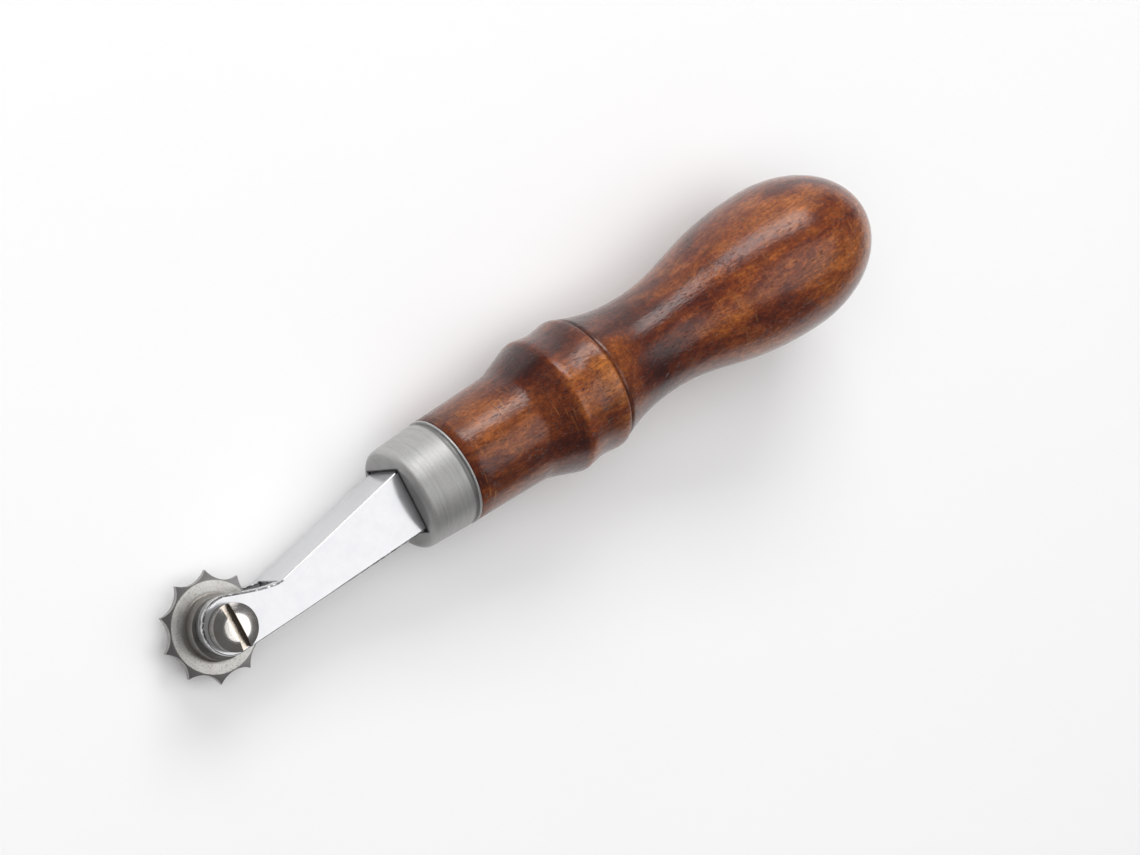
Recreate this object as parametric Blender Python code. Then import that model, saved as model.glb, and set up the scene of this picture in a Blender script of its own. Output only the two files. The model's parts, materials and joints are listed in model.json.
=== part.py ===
"""A hand stitch-marking wheel: a turned wooden handle, a steel ferrule, a steel fork,
a scalloped ten-tooth wheel and the slotted shoulder screw that the wheel turns on.

The tool is drawn in its own axes, in metres. The handle's centre line is X, with the
pommel at +X. The screw points along Z, with its head at +Z, and crosses X = 0. At the
end the whole tool is laid down on the far ear of the fork and the handle's first ridge.
"""
import math

import bmesh
import bpy
from mathutils import Vector

MM = 0.001
LAY_DOWN_ROUNDS = 4          # tries at finding the resting tilt; it settles in two

# Clearances.
SEAT_GAP = 0.3 * MM          # between two pieces that are fixed together
RUNNING_GAP = 0.1 * MM       # around a shank in its hole, on the radius
WHEEL_END_GAP = 0.3 * MM     # between the wheel and each ear
WHEEL_TIP_GAP = 1.9 * MM     # between the teeth and the end of the fork's slot

# Shoulder screw.
SHANK_RADIUS = 2.65 * MM
SHOULDER_STEP = 0.65 * MM        # from the shank down to the thread
HEAD_OVERHANG = 0.8 * MM         # from the shank out to the head's side
HEAD_SIDE_HEIGHT = 2.05 * MM
HEAD_BEVEL_HEIGHT = 0.5 * MM
HEAD_BEVEL_WIDTH = 1.5 * MM
SLOT_WIDTH = 1.0 * MM
SLOT_DEPTH = 1.25 * MM
SCREW_TIP_CHAMFER = 0.3 * MM
SCREW_STEPS = 48

# Marking wheel.
TOOTH_COUNT = 10
WHEEL_TIP_RADIUS = 8.1 * MM
SCALLOP_DEPTH = 1.32 * MM
RING_MARGIN = 0.18 * MM          # from the bottom of a scallop in to the flat ring
TOOTH_TIP_WIDTH = 0.75 * MM
TOOTH_BEVEL_DROP = 0.42 * MM     # how far the teeth slope down from the flat ring
HUB_WALL = 1.85 * MM
HUB_CHAMFER = 0.25 * MM
HUB_FILLET = 0.35 * MM
BACK_BOSS_WALL = 1.35 * MM
BACK_BOSS_HEIGHT = 0.47 * MM
BORE_CHAMFER = 0.45 * MM
WHEEL_PHASE = math.radians(33.2)
STEPS_PER_TOOTH = 10

# Fork.
FORK_LENGTH = 33.6 * MM             # from the screw's axis to the ferrule
FORK_THICKNESS = 9.4 * MM
EAR_THICKNESS = 2.3 * MM
EAR_MARGIN = 0.8 * MM               # how far the ears' round end passes the screw head
EAR_OFFSET = (0.2 * MM, 0.2 * MM)   # centre of the ears' round end, from the screw
AXLE_DROP = 1.15 * MM               # the screw sits this far below the handle's line
NECK_SETBACK = 0.1 * MM             # from the slot's end back to the bend in the top edge
NECK_HEIGHT = 0.5 * MM              # that bend's height over the handle's line
BLOCK_WIDTH = 9.55 * MM             # the block where it enters the ferrule
BLOCK_THICKNESS = 8.2 * MM
FORK_EDGE_BEVEL = 0.22 * MM
NOSE_STEPS = 22
TANG_RADIUS = 2.6 * MM
TANG_LENGTH = 35.8 * MM
TANG_TIP = 1.6 * MM
TANG_STEPS = 32

# Ferrule.
FERRULE_LENGTH = 8.8 * MM
FERRULE_WINDOW_WALL = 1.33 * MM     # outside the window's corners, at the front
FERRULE_TAPER = 0.33 * MM           # how much larger its radius is at the back
FERRULE_SHOULDER = 1.1 * MM         # radius of the rounded front edge
FERRULE_WALL = 1.2 * MM
FERRULE_END_WALL = 2.6 * MM
FERRULE_LIP_RISE = 0.12 * MM
FERRULE_LIP_WIDTH = 0.45 * MM
FERRULE_GROOVE_WIDTH = 0.7 * MM
FERRULE_GROOVE_DEPTH = 0.25 * MM
FERRULE_STEPS = 64

# Handle: the length of each stretch from the ferrule back, and the radius at its end.
GRIP_INSET = 0.05 * MM              # the wood's radius under that of the ferrule's lip
GRIP_LENGTH = 13.6 * MM
GRIP_SWELL = 0.35 * MM              # how much larger its radius is where the flare starts
FLARE_LENGTH = 5.8 * MM
FIRST_RIDGE_RADIUS = 10.85 * MM
BAND_LENGTH = 7.4 * MM
BAND_CROWN = 0.1 * MM               # how far the band between the ridges bulges
SECOND_RIDGE_RADIUS = 10.7 * MM
RIDGE_ROUNDING = 0.45 * MM
STEP_WIDTH = 1.2 * MM               # the small step cut behind the second ridge
STEP_DEPTH = 0.45 * MM
WAIST_LENGTH = 12.8 * MM
WAIST_RADIUS = 8.15 * MM
SWELL_LENGTH = 27.0 * MM
POMMEL_RADIUS = 11.95 * MM
POMMEL_LENGTH = 17.0 * MM
HANDLE_STEPS = 48
GRIP_ROWS = (0.33, 0.66)            # where the straight grip has extra rows of corners
STEP_LOW = 0.35                     # where the small step is deepest, along its width
FLARE_BLEND = 3.0 * RIDGE_ROUNDING  # how far up the flare its curve runs
RIDGE_LIFT = 0.2 * BAND_CROWN       # how far the band has risen where the rounding ends
POMMEL_STEPS = 10

# How far the inner knots of the two long curves lie from their ends, as a part of the
# curve's length, and how far the first knot has already dropped.
FALL_FROM_STEP = 0.26
FALL_DROP = 0.55
FALL_INTO_WAIST = 0.43
SWELL_FROM_WAIST = 0.37
SWELL_INTO_POMMEL = 0.52

# Worked out from the sizes above.
BORE_RADIUS = SHANK_RADIUS + RUNNING_GAP
THREAD_RADIUS = SHANK_RADIUS - SHOULDER_STEP
HEAD_RADIUS = SHANK_RADIUS + HEAD_OVERHANG
HUB_RADIUS = BORE_RADIUS + HUB_WALL
BACK_BOSS_RADIUS = BORE_RADIUS + BACK_BOSS_WALL
WHEEL_ROOT_RADIUS = WHEEL_TIP_RADIUS - SCALLOP_DEPTH
WHEEL_RING_RADIUS = WHEEL_ROOT_RADIUS - RING_MARGIN

FORK_HALF = FORK_THICKNESS / 2.0
SLOT_HALF = FORK_HALF - EAR_THICKNESS
SLOT_END = WHEEL_TIP_RADIUS + WHEEL_TIP_GAP
HUB_TOP = SLOT_HALF - WHEEL_END_GAP
BOSS_BOTTOM = -SLOT_HALF + WHEEL_END_GAP
AXLE = (0.0, -AXLE_DROP)
EAR_RADIUS = HEAD_RADIUS + EAR_MARGIN
NECK = (SLOT_END + NECK_SETBACK, NECK_HEIGHT)

WINDOW_HALF_WIDTH = BLOCK_WIDTH / 2.0 + SEAT_GAP
WINDOW_HALF_HEIGHT = BLOCK_THICKNESS / 2.0 + SEAT_GAP
FERRULE_FRONT = FORK_LENGTH
FERRULE_BACK = FERRULE_FRONT + FERRULE_LENGTH
BLOCK_END = FERRULE_FRONT + FERRULE_END_WALL
TANG_END = BLOCK_END + TANG_LENGTH
FERRULE_FRONT_RADIUS = math.hypot(WINDOW_HALF_WIDTH, WINDOW_HALF_HEIGHT) + FERRULE_WINDOW_WALL
FERRULE_BACK_RADIUS = FERRULE_FRONT_RADIUS + FERRULE_TAPER
FERRULE_LIP_RADIUS = FERRULE_BACK_RADIUS + FERRULE_LIP_RISE
SOCKET_RADIUS = FERRULE_FRONT_RADIUS - FERRULE_WALL

GRIP_RADIUS = FERRULE_LIP_RADIUS - GRIP_INSET
GRIP_END_RADIUS = GRIP_RADIUS + GRIP_SWELL
GRIP_END = FERRULE_BACK + GRIP_LENGTH
FIRST_RIDGE = GRIP_END + FLARE_LENGTH
SECOND_RIDGE = FIRST_RIDGE + BAND_LENGTH
WAIST = SECOND_RIDGE + WAIST_LENGTH
POMMEL = WAIST + SWELL_LENGTH


def clear_scene():
    for item in list(bpy.data.objects):
        bpy.data.objects.remove(item, do_unlink=True)


def material(name, colour, roughness, metallic):
    made = bpy.data.materials.new(name)
    made.use_nodes = True
    shader = made.node_tree.nodes["Principled BSDF"]
    shader.inputs["Base Color"].default_value = (*colour, 1.0)
    shader.inputs["Roughness"].default_value = roughness
    shader.inputs["Metallic"].default_value = metallic
    made.diffuse_color = (*colour, 1.0)
    return made


def finish(name, work, look, smooth_angle=35.0):
    """Turns a bmesh into a linked object with outward faces and smooth round sides."""
    bmesh.ops.recalc_face_normals(work, faces=work.faces)
    mesh = bpy.data.meshes.new(name)
    work.to_mesh(mesh)
    work.free()
    mesh.shade_smooth()
    mesh.set_sharp_from_angle(angle=math.radians(smooth_angle))
    made = bpy.data.objects.new(name, mesh)
    if look is not None:
        mesh.materials.append(look)
    bpy.context.collection.objects.link(made)
    return made


def turned(name, profile, steps, look, axis="X"):
    """A solid of revolution. The profile is (along, radius) points from pole to pole,
    or a closed ring of points when it doesn't touch the axis. One row of corners lies
    straight below the centre line."""
    work = bmesh.new()
    if axis == "X":
        spin_axis = Vector((1.0, 0.0, 0.0))
        corners = [work.verts.new((along, 0.0, -radius)) for along, radius in profile]
    else:
        spin_axis = Vector((0.0, 0.0, 1.0))
        corners = [work.verts.new((radius, 0.0, along)) for along, radius in profile]
    edges = [work.edges.new(pair) for pair in zip(corners, corners[1:])]
    if min(radius for _, radius in profile) > 0.0:
        edges.append(work.edges.new((corners[-1], corners[0])))
    bmesh.ops.spin(work, geom=corners + edges, cent=(0.0, 0.0, 0.0), axis=spin_axis,
                   angle=2.0 * math.pi, steps=steps, use_merge=True)
    bmesh.ops.remove_doubles(work, verts=work.verts, dist=0.001 * MM)
    return finish(name, work, look)


def loft(name, loops, look):
    """A ring-shaped body skinned over closed loops that have the same number of points,
    with the last loop joined back to the first."""
    work = bmesh.new()
    rows = [[work.verts.new(point) for point in loop] for loop in loops]
    count = len(rows[0])
    for row, following in zip(rows, rows[1:] + rows[:1]):
        for index in range(count):
            after = (index + 1) % count
            work.faces.new((row[index], row[after], following[after], following[index]))
    return finish(name, work, look)


def prism(name, outline, low, high, look=None, shape=None):
    """A straight-sided body on an (x, y) outline between two heights. shape may change
    the bmesh before it becomes an object."""
    work = bmesh.new()
    bottom = [work.verts.new((x, y, low)) for x, y in outline]
    top = [work.verts.new((x, y, high)) for x, y in outline]
    count = len(outline)
    for index in range(count):
        after = (index + 1) % count
        work.faces.new((bottom[index], bottom[after], top[after], top[index]))
    work.faces.new(list(reversed(bottom)))
    work.faces.new(top)
    if shape is not None:
        shape(work)
    return finish(name, work, look)


def box(name, low, high):
    outline = [(low[0], low[1]), (high[0], low[1]), (high[0], high[1]), (low[0], high[1])]
    return prism(name, outline, low[2], high[2])


def apply_boolean(target, tool, operation):
    """Adds an exact Boolean whose tool stays in the file as a hidden guide."""
    change = target.modifiers.new(tool.name, "BOOLEAN")
    change.operation = operation
    change.solver = "EXACT"
    change.object = tool
    tool.hide_render = True
    tool.display_type = "WIRE"


def arc(centre, radius, start, end, steps):
    """Points on a circle from one angle to another, both ends included."""
    points = []
    for index in range(steps + 1):
        angle = start + (end - start) * index / steps
        points.append((centre[0] + radius * math.cos(angle),
                       centre[1] + radius * math.sin(angle)))
    return points


def bezier(start, first, second, end, steps):
    """Points on a cubic curve, without its first point."""
    points = []
    for index in range(1, steps + 1):
        t = index / steps
        u = 1.0 - t
        weights = (u * u * u, 3.0 * u * u * t, 3.0 * u * t * t, t * t * t)
        points.append(tuple(sum(weight * knot[axis] for weight, knot
                                in zip(weights, (start, first, second, end)))
                            for axis in (0, 1)))
    return points


def tangent_angle(point, centre, radius, side):
    """Where a line from an outside point touches a circle, as an angle on the circle."""
    dx = point[0] - centre[0]
    dy = point[1] - centre[1]
    return math.atan2(dy, dx) + side * math.acos(radius / math.hypot(dx, dy))


def taper_fork(work):
    """Thins the straight-sided fork evenly from the neck to the ferrule. A row of corners
    across each end of the taper keeps every face flat."""
    taper_length = FERRULE_FRONT - NECK[0]
    for x in (NECK[0], FERRULE_FRONT):
        everything = work.verts[:] + work.edges[:] + work.faces[:]
        bmesh.ops.bisect_plane(work, geom=everything, dist=0.001 * MM,
                               plane_co=(x, 0.0, 0.0), plane_no=(1.0, 0.0, 0.0))
    for corner in work.verts:
        share = min(max((corner.co.x - NECK[0]) / taper_length, 0.0), 1.0)
        half = FORK_HALF + (BLOCK_THICKNESS / 2.0 - FORK_HALF) * share
        corner.co.z = math.copysign(half, corner.co.z)


def fork_outline():
    """The fork seen along the screw: a round nose, a bent top edge and a straight
    bottom edge."""
    half = BLOCK_WIDTH / 2.0
    centre = (EAR_OFFSET[0], AXLE[1] + EAR_OFFSET[1])
    top = tangent_angle(NECK, centre, EAR_RADIUS, 1.0)
    bottom = tangent_angle((FERRULE_FRONT, -half), centre, EAR_RADIUS, -1.0)
    nose = arc(centre, EAR_RADIUS, top, bottom + 2.0 * math.pi, NOSE_STEPS)
    back = [(FERRULE_FRONT, -half), (BLOCK_END, -half), (BLOCK_END, half),
            (FERRULE_FRONT, half)]
    return nose + back + [NECK]


def make_fork(look):
    fork = prism("fork", fork_outline(), -FORK_HALF, FORK_HALF, look, taper_fork)
    edges = fork.modifiers.new("broken edges", "BEVEL")
    edges.width = FORK_EDGE_BEVEL
    edges.segments = 1
    edges.limit_method = "ANGLE"
    edges.angle_limit = math.radians(50.0)

    wheel_reach = WHEEL_TIP_RADIUS + EAR_RADIUS
    slot = box("slot cutter", (-2.0 * wheel_reach, -2.0 * wheel_reach, -SLOT_HALF),
               (SLOT_END, 2.0 * wheel_reach, SLOT_HALF))
    apply_boolean(fork, slot, "DIFFERENCE")

    thread_hole = THREAD_RADIUS + SEAT_GAP
    hole_profile = [(-2.0 * FORK_HALF, 0.0), (-2.0 * FORK_HALF, thread_hole),
                    (0.0, thread_hole), (0.0, BORE_RADIUS),
                    (2.0 * FORK_HALF, BORE_RADIUS), (2.0 * FORK_HALF, 0.0)]
    hole = turned("screw hole cutter", hole_profile, SCREW_STEPS, None, axis="Z")
    hole.location = (*AXLE, 0.0)
    apply_boolean(fork, hole, "DIFFERENCE")

    root = BLOCK_END - FERRULE_END_WALL / 2.0
    tang = turned("tang shape", [(root, 0.0), (root, TANG_RADIUS),
                                 (TANG_END - TANG_TIP, TANG_RADIUS),
                                 (TANG_END, TANG_RADIUS - TANG_TIP), (TANG_END, 0.0)],
                  TANG_STEPS, None)
    apply_boolean(fork, tang, "UNION")
    return fork, [slot, hole, tang]


def make_ferrule(look):
    """A turned steel cap with a rounded front edge, a grooved back edge, a rectangular
    window for the fork and a round socket for the handle's tenon."""
    groove_front = FERRULE_BACK - FERRULE_LIP_WIDTH - FERRULE_GROOVE_WIDTH
    groove_back = FERRULE_BACK - FERRULE_LIP_WIDTH
    groove_radius = FERRULE_BACK_RADIUS - FERRULE_GROOVE_DEPTH
    shoulder = arc((FERRULE_FRONT + FERRULE_SHOULDER, FERRULE_FRONT_RADIUS - FERRULE_SHOULDER),
                   FERRULE_SHOULDER, math.pi, math.pi / 2.0, 6)
    profile = [(FERRULE_FRONT, 0.0)]
    profile += shoulder
    profile += [(groove_front, FERRULE_BACK_RADIUS),
                (groove_front + FERRULE_GROOVE_DEPTH, groove_radius),
                (groove_back, groove_radius), (groove_back, FERRULE_LIP_RADIUS),
                (FERRULE_BACK, FERRULE_LIP_RADIUS), (FERRULE_BACK, SOCKET_RADIUS),
                (BLOCK_END, SOCKET_RADIUS), (BLOCK_END, 0.0)]
    ferrule = turned("ferrule", profile, FERRULE_STEPS, look)
    window = box("window cutter",
                 (FERRULE_FRONT - FERRULE_END_WALL, -WINDOW_HALF_WIDTH, -WINDOW_HALF_HEIGHT),
                 (BLOCK_END + FERRULE_END_WALL, WINDOW_HALF_WIDTH, WINDOW_HALF_HEIGHT))
    apply_boolean(ferrule, window, "DIFFERENCE")
    return ferrule, [window]


def handle_profile():
    """The outline of the turned wood from the tang hole's floor, round the tenon and
    along the outside, to the pole of the pommel."""
    tenon_front = BLOCK_END + SEAT_GAP
    tenon_radius = SOCKET_RADIUS - SEAT_GAP
    grip_start = FERRULE_BACK + SEAT_GAP
    hole_radius = TANG_RADIUS + SEAT_GAP
    hole_floor = TANG_END + SEAT_GAP
    points = [(hole_floor, 0.0), (hole_floor, hole_radius), (tenon_front, hole_radius),
              (tenon_front, tenon_radius), (grip_start, tenon_radius),
              (grip_start, GRIP_RADIUS)]
    points += [(grip_start + (GRIP_END - grip_start) * share,
                GRIP_RADIUS + (GRIP_END_RADIUS - GRIP_RADIUS) * share)
               for share in GRIP_ROWS]

    flare = (FIRST_RIDGE_RADIUS - GRIP_END_RADIUS) / (FIRST_RIDGE - GRIP_END)
    grip_end = (GRIP_END, GRIP_END_RADIUS)
    on_flare = (GRIP_END + FLARE_BLEND, GRIP_END_RADIUS + FLARE_BLEND * flare)
    points += bezier(points[-1], grip_end, grip_end, on_flare, 5)
    before_ridge = (FIRST_RIDGE - RIDGE_ROUNDING, FIRST_RIDGE_RADIUS - RIDGE_ROUNDING * flare)
    after_ridge = (FIRST_RIDGE + RIDGE_ROUNDING, FIRST_RIDGE_RADIUS + RIDGE_LIFT)
    ridge = (FIRST_RIDGE, FIRST_RIDGE_RADIUS)
    points.append(before_ridge)
    points += bezier(before_ridge, ridge, ridge, after_ridge, 3)

    middle = (FIRST_RIDGE + SECOND_RIDGE) / 2.0
    crown = max(FIRST_RIDGE_RADIUS, SECOND_RIDGE_RADIUS) + BAND_CROWN
    band_end = (SECOND_RIDGE, SECOND_RIDGE_RADIUS)
    points += bezier(after_ridge, (middle, crown), (middle, crown), band_end, 4)
    step_low = (SECOND_RIDGE + STEP_LOW * STEP_WIDTH, SECOND_RIDGE_RADIUS - STEP_DEPTH)
    step_out = (SECOND_RIDGE + STEP_WIDTH, SECOND_RIDGE_RADIUS - STEP_DEPTH)
    points += [step_low, step_out]

    fall = WAIST - step_out[0]
    drop = step_out[1] - WAIST_RADIUS
    points += bezier(step_out,
                     (step_out[0] + FALL_FROM_STEP * fall, step_out[1] - FALL_DROP * drop),
                     (WAIST - FALL_INTO_WAIST * fall, WAIST_RADIUS), (WAIST, WAIST_RADIUS), 8)
    points += bezier((WAIST, WAIST_RADIUS),
                     (WAIST + SWELL_FROM_WAIST * SWELL_LENGTH, WAIST_RADIUS),
                     (POMMEL - SWELL_INTO_POMMEL * SWELL_LENGTH, POMMEL_RADIUS),
                     (POMMEL, POMMEL_RADIUS), 10)
    for index in range(1, POMMEL_STEPS + 1):
        angle = math.radians(90.0 * index / POMMEL_STEPS)
        radius = POMMEL_RADIUS * math.cos(angle) if index < POMMEL_STEPS else 0.0
        points.append((POMMEL + POMMEL_LENGTH * math.sin(angle), radius))
    return points


def make_handle(look):
    return turned("handle", handle_profile(), HANDLE_STEPS, look)


def tooth_outline_radius(angle):
    """The wheel's edge: round scallops that meet in sharp tips. Each scallop is part of
    a circle through its root and its two tips."""
    half = math.pi / TOOTH_COUNT
    across = WHEEL_TIP_RADIUS * math.cos(half)
    aside = WHEEL_TIP_RADIUS * math.sin(half)
    centre = ((across * across + aside * aside - WHEEL_ROOT_RADIUS * WHEEL_ROOT_RADIUS)
              / (2.0 * (across - WHEEL_ROOT_RADIUS)))
    radius = centre - WHEEL_ROOT_RADIUS
    offset = (angle % (2.0 * half)) - half
    return centre * math.cos(offset) - math.sqrt(radius ** 2
                                                 - (centre * math.sin(offset)) ** 2)


def make_wheel(look):
    tooth_bottom = BOSS_BOTTOM + BACK_BOSS_HEIGHT
    ring_top = tooth_bottom + TOOTH_TIP_WIDTH + TOOTH_BEVEL_DROP
    count = TOOTH_COUNT * STEPS_PER_TOOTH
    angles = [2.0 * math.pi * index / count for index in range(count)]
    slope = TOOTH_BEVEL_DROP / (WHEEL_TIP_RADIUS - WHEEL_RING_RADIUS)

    def circle(radius, height):
        return [(radius * math.cos(angle), radius * math.sin(angle), height)
                for angle in angles]

    def toothed(height_at):
        return [(tooth_outline_radius(angle) * math.cos(angle),
                 tooth_outline_radius(angle) * math.sin(angle),
                 height_at(tooth_outline_radius(angle))) for angle in angles]

    fillet = [circle(HUB_RADIUS + HUB_FILLET * (1.0 - math.sin(turn)),
                     ring_top + HUB_FILLET * (1.0 - math.cos(turn)))
              for turn in (0.0, math.radians(30.0), math.radians(60.0), math.radians(90.0))]
    loops = [toothed(lambda radius: tooth_bottom),
             toothed(lambda radius: ring_top - slope * (radius - WHEEL_RING_RADIUS)),
             circle(WHEEL_RING_RADIUS, ring_top)]
    loops += fillet
    loops += [circle(HUB_RADIUS, HUB_TOP - HUB_CHAMFER),
              circle(HUB_RADIUS - HUB_CHAMFER, HUB_TOP),
              circle(BORE_RADIUS + BORE_CHAMFER, HUB_TOP),
              circle(BORE_RADIUS, HUB_TOP - BORE_CHAMFER),
              circle(BORE_RADIUS, BOSS_BOTTOM),
              circle(BACK_BOSS_RADIUS, BOSS_BOTTOM),
              circle(BACK_BOSS_RADIUS, tooth_bottom)]
    wheel = loft("marking_wheel", loops, look)
    wheel.location = (*AXLE, 0.0)
    wheel.rotation_euler = (0.0, 0.0, WHEEL_PHASE)
    return wheel


def make_screw(look):
    """The shoulder screw: its thread is held by the far ear, its shoulder stands on that
    ear and its head lies on the near ear."""
    under_head = FORK_HALF + SEAT_GAP
    head_edge = FORK_HALF + HEAD_SIDE_HEIGHT
    head_top = head_edge + HEAD_BEVEL_HEIGHT
    shoulder = -SLOT_HALF + SEAT_GAP
    tip = -FORK_HALF + SEAT_GAP
    profile = [(tip, 0.0), (tip, THREAD_RADIUS - SCREW_TIP_CHAMFER),
               (tip + SCREW_TIP_CHAMFER, THREAD_RADIUS), (shoulder, THREAD_RADIUS),
               (shoulder, SHANK_RADIUS), (under_head, SHANK_RADIUS),
               (under_head, HEAD_RADIUS), (head_edge, HEAD_RADIUS),
               (head_top, HEAD_RADIUS - HEAD_BEVEL_WIDTH), (head_top, 0.0)]
    screw = turned("axle_screw", profile, SCREW_STEPS, look, axis="Z")
    screw.location = (*AXLE, 0.0)
    slot = box("driver slot cutter",
               (-SLOT_WIDTH / 2.0, -2.0 * HEAD_RADIUS, head_top - SLOT_DEPTH),
               (SLOT_WIDTH / 2.0, 2.0 * HEAD_RADIUS, head_top + SLOT_DEPTH))
    slot.location = (*AXLE, 0.0)
    apply_boolean(screw, slot, "DIFFERENCE")
    return screw, [slot]


def built_corners(pieces):
    """Every corner of the pieces where it stands, with the modifiers applied."""
    bpy.context.view_layer.update()
    graph = bpy.context.evaluated_depsgraph_get()
    corners = []
    for piece in pieces:
        shape = piece.evaluated_get(graph)
        mesh = shape.to_mesh()
        corners += [shape.matrix_world @ corner.co for corner in mesh.vertices]
        shape.to_mesh_clear()
    return corners


def lay_down(pieces, root):
    """Tilts the tool about its nose until the first corner behind the slot touches the
    ground too, which is on the first ridge. Then puts the middle of its box over the
    origin and its lowest corner on the ground."""
    corners = built_corners(pieces)
    nose = [corner for corner in corners if corner.x < SLOT_END]
    rest = [corner for corner in corners if corner.x > SLOT_END + NECK_SETBACK]
    tilt = 0.0
    for _ in range(LAY_DOWN_ROUNDS):
        low = min(nose, key=lambda corner: corner.z * math.cos(tilt) + corner.x * math.sin(tilt))
        tilt = max(math.atan2(low.z - corner.z, corner.x - low.x) for corner in rest)
    root.rotation_euler = (0.0, -tilt, 0.0)
    laid = built_corners(pieces)
    lows = [min(corner[axis] for corner in laid) for axis in (0, 1, 2)]
    highs = [max(corner[axis] for corner in laid) for axis in (0, 1, 2)]
    root.location = (-(lows[0] + highs[0]) / 2.0, -(lows[1] + highs[1]) / 2.0, -lows[2])
    bpy.context.view_layer.update()


def main():
    clear_scene()
    wood = material("stained wood", (0.20, 0.055, 0.02), 0.22, 0.0)
    satin = material("satin steel", (0.50, 0.49, 0.47), 0.38, 1.0)
    bright = material("bright plated steel", (0.80, 0.80, 0.82), 0.14, 1.0)
    ground = material("ground tool steel", (0.42, 0.41, 0.39), 0.42, 1.0)
    polished = material("polished steel", (0.60, 0.59, 0.57), 0.2, 1.0)

    root = bpy.data.objects.new("tool", None)
    bpy.context.collection.objects.link(root)

    fork, fork_guides = make_fork(bright)
    ferrule, ferrule_guides = make_ferrule(satin)
    handle = make_handle(wood)
    wheel = make_wheel(ground)
    screw, screw_guides = make_screw(polished)

    pieces = [fork, ferrule, handle, wheel, screw]
    for item in pieces + fork_guides + ferrule_guides + screw_guides:
        item.parent = root
    lay_down(pieces, root)


main()
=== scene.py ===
"""Looks of the stitch marking wheel: turned and lacquered wood, brushed and plated
steel, on a pale floor under soft studio light."""
import json
import math

import bmesh
import bpy
from mathutils import Matrix, Vector


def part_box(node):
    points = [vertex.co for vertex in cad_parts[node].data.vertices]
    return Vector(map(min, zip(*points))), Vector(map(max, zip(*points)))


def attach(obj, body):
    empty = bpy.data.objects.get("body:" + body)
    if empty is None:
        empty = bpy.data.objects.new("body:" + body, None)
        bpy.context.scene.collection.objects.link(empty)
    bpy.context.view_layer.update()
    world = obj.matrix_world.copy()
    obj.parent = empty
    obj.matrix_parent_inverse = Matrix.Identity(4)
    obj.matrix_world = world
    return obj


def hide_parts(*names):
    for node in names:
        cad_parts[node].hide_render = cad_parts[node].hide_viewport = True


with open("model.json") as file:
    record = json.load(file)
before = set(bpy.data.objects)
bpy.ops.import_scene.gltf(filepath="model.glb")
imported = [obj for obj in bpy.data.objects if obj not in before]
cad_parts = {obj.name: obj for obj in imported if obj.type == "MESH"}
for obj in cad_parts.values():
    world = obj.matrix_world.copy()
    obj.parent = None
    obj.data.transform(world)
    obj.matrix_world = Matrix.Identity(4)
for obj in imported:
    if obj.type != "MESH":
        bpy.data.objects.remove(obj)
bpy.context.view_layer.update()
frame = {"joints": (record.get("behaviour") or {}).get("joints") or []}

MM = 0.001
TURN = 2.0 * math.pi

# The tool's own axes, worked out from the frame: X along the handle towards the pommel,
# Z along the wheel's axle towards the screw head, origin on the handle's centre line.
axle = next(joint for joint in frame["joints"] if joint["name"] == "wheel_spin")
axle_point = Vector(axle["pos_m"])
axle_direction = Vector(axle["axis"]).normalized()
ferrule_low, ferrule_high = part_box("ferrule")
centre_y = (ferrule_low.y + ferrule_high.y) / 2.0
AXLE_DROP = centre_y - axle_point.y
tool_z = axle_direction
tool_y = Vector((0.0, 1.0, 0.0))
tool_x = tool_y.cross(tool_z)
TOOL = Matrix.Translation((axle_point.x, centre_y, axle_point.z)) @ Matrix(
    (tool_x, tool_y, tool_z)).transposed().to_4x4()

# Sizes in the tool's axes, in metres, as on the drawing.
FORK_HALF = 4.7 * MM
BLOCK_HALF = 4.1 * MM
BLOCK_WIDTH = 9.55 * MM
SLOT_HALF = 2.4 * MM
SLOT_END = 10.0 * MM
NECK = (10.1 * MM, 0.5 * MM)
EAR_RADIUS = 4.25 * MM
EAR_CENTRE = (0.2 * MM, 0.2 * MM - AXLE_DROP)
FERRULE_FRONT = 33.6 * MM
FERRULE_BACK = 42.4 * MM
END_WALL = 2.6 * MM
HEAD_TOP = FORK_HALF + 2.55 * MM
SLOT_WIDTH = 1.3 * MM
SLOT_DEPTH = 1.25 * MM
SEAT_GAP = 0.3 * MM
SHANK_HOLE = 2.75 * MM
THREAD_HOLE = 2.3 * MM
WHEEL_TURN = math.radians(33.2)
WELD = 0.0005 * MM


# --- Node helpers ------------------------------------------------------------------

def add(tree, kind, inputs=None, **settings):
    """A node whose inputs are given by name or number, as values or as sockets."""
    node = tree.nodes.new(kind)
    for key, value in settings.items():
        setattr(node, key, value)
    for key, value in (inputs or {}).items():
        if isinstance(value, bpy.types.NodeSocket):
            tree.links.new(value, node.inputs[key])
        else:
            node.inputs[key].default_value = value
    return node


def math_node(tree, operation, first, second=0.0):
    return add(tree, "ShaderNodeMath", {0: first, 1: second}, operation=operation).outputs[0]


def times(tree, first, second):
    return math_node(tree, "MULTIPLY", first, second)


def plus(tree, first, second):
    return math_node(tree, "ADD", first, second)


def minus(tree, first, second):
    return math_node(tree, "SUBTRACT", first, second)


def ramp(tree, factor, stops, smooth=False):
    """A colour ramp over (position, grey or colour) stops."""
    node = add(tree, "ShaderNodeValToRGB", {"Fac": factor})
    node.color_ramp.interpolation = "EASE" if smooth else "LINEAR"
    band = node.color_ramp.elements
    while len(band) < len(stops):
        band.new(0.5)
    for stop, (position, value) in zip(band, stops):
        stop.position = position
        colour = value if isinstance(value, tuple) else (value, value, value)
        stop.color = (*colour, 1.0)
    return node.outputs["Color"]


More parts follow.
